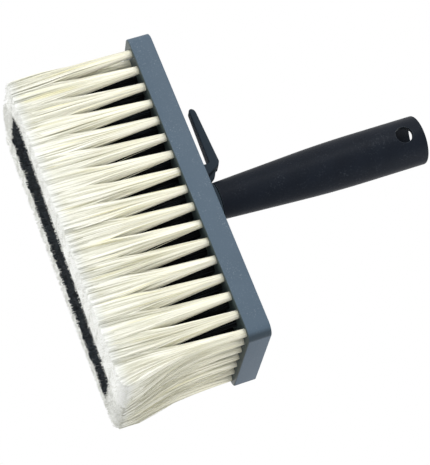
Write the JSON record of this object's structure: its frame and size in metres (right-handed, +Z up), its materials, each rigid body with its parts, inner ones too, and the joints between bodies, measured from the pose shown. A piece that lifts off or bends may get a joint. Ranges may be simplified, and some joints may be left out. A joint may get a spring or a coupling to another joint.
{
  "type": "ceiling brush",
  "caption": "Rectangular block brush with dense cream and black bristles, a hollow screw-on handle and a hook for hanging it on a bucket's rim.",
  "frame": {"origin": "centre of the bounding box in plan, at the bristle tips that the brush stands on", "axes": "+X along the block away from the bucket hook, +Y across the block, +Z up from the bristle tips along the handle"},
  "size_m": [0.1732, 0.0716, 0.1967],
  "materials": {
    "grey_plastic": "blue-grey moulded plastic with a fine light speckle",
    "black_plastic": "satin black moulded plastic",
    "cream_bristle": "cream synthetic filaments",
    "black_bristle": "black synthetic filaments"
  },
  "bodies": {
    "head": {"block": "grey_plastic", "threaded_stud": "grey_plastic", "front_tuft_01": "cream_bristle", "front_tuft_02": "cream_bristle", "front_tuft_03": "cream_bristle", "front_tuft_04": "cream_bristle", "front_tuft_05": "cream_bristle", "front_tuft_06": "cream_bristle", "front_tuft_07": "cream_bristle", "front_tuft_08": "cream_bristle", "front_tuft_09": "cream_bristle", "front_tuft_10": "cream_bristle", "front_tuft_11": "cream_bristle", "front_tuft_12": "cream_bristle", "front_tuft_13": "cream_bristle", "front_tuft_14": "cream_bristle", "front_tuft_15": "cream_bristle", "front_tuft_16": "cream_bristle", "front_tuft_17": "cream_bristle", "back_tuft_01": "cream_bristle", "back_tuft_02": "cream_bristle", "back_tuft_03": "cream_bristle", "back_tuft_04": "cream_bristle", "back_tuft_05": "cream_bristle", "back_tuft_06": "cream_bristle", "back_tuft_07": "cream_bristle", "back_tuft_08": "cream_bristle", "back_tuft_09": "cream_bristle", "back_tuft_10": "cream_bristle", "back_tuft_11": "cream_bristle", "back_tuft_12": "cream_bristle", "back_tuft_13": "cream_bristle", "back_tuft_14": "cream_bristle", "back_tuft_15": "cream_bristle", "back_tuft_16": "cream_bristle", "back_tuft_17": "cream_bristle", "left_end_tuft_1": "cream_bristle", "left_end_tuft_2": "cream_bristle", "left_end_tuft_3": "cream_bristle", "left_end_tuft_4": "cream_bristle", "left_end_tuft_5": "cream_bristle", "right_end_tuft_1": "cream_bristle", "right_end_tuft_2": "cream_bristle", "right_end_tuft_3": "cream_bristle", "right_end_tuft_4": "cream_bristle", "right_end_tuft_5": "cream_bristle", "black_tuft_row_1": "black_bristle", "black_tuft_row_2": "black_bristle", "black_tuft_row_3": "black_bristle", "black_tuft_row_4": "black_bristle", "black_tuft_row_5": "black_bristle"},
    "hook": {"bucket_hook": "black_plastic"},
    "handle": {"handle": "black_plastic"}
  },
  "joints": [
    {"name": "hook_lift", "type": "slide", "parent": "head", "child": "hook", "axis": [0, 0, 1], "range_m": [0, 0.02]},
    {"name": "handle_turn", "type": "hinge", "parent": "hook", "child": "handle", "pos_m": [-0.0016, 0, 0.0767], "axis": [0, 0, 1], "range_deg": [0, 1440]}
  ],
  "couplings": [
    {"joint": "hook_lift", "follows": "handle_turn", "m_per_rad": 0.00079577}
  ]
}
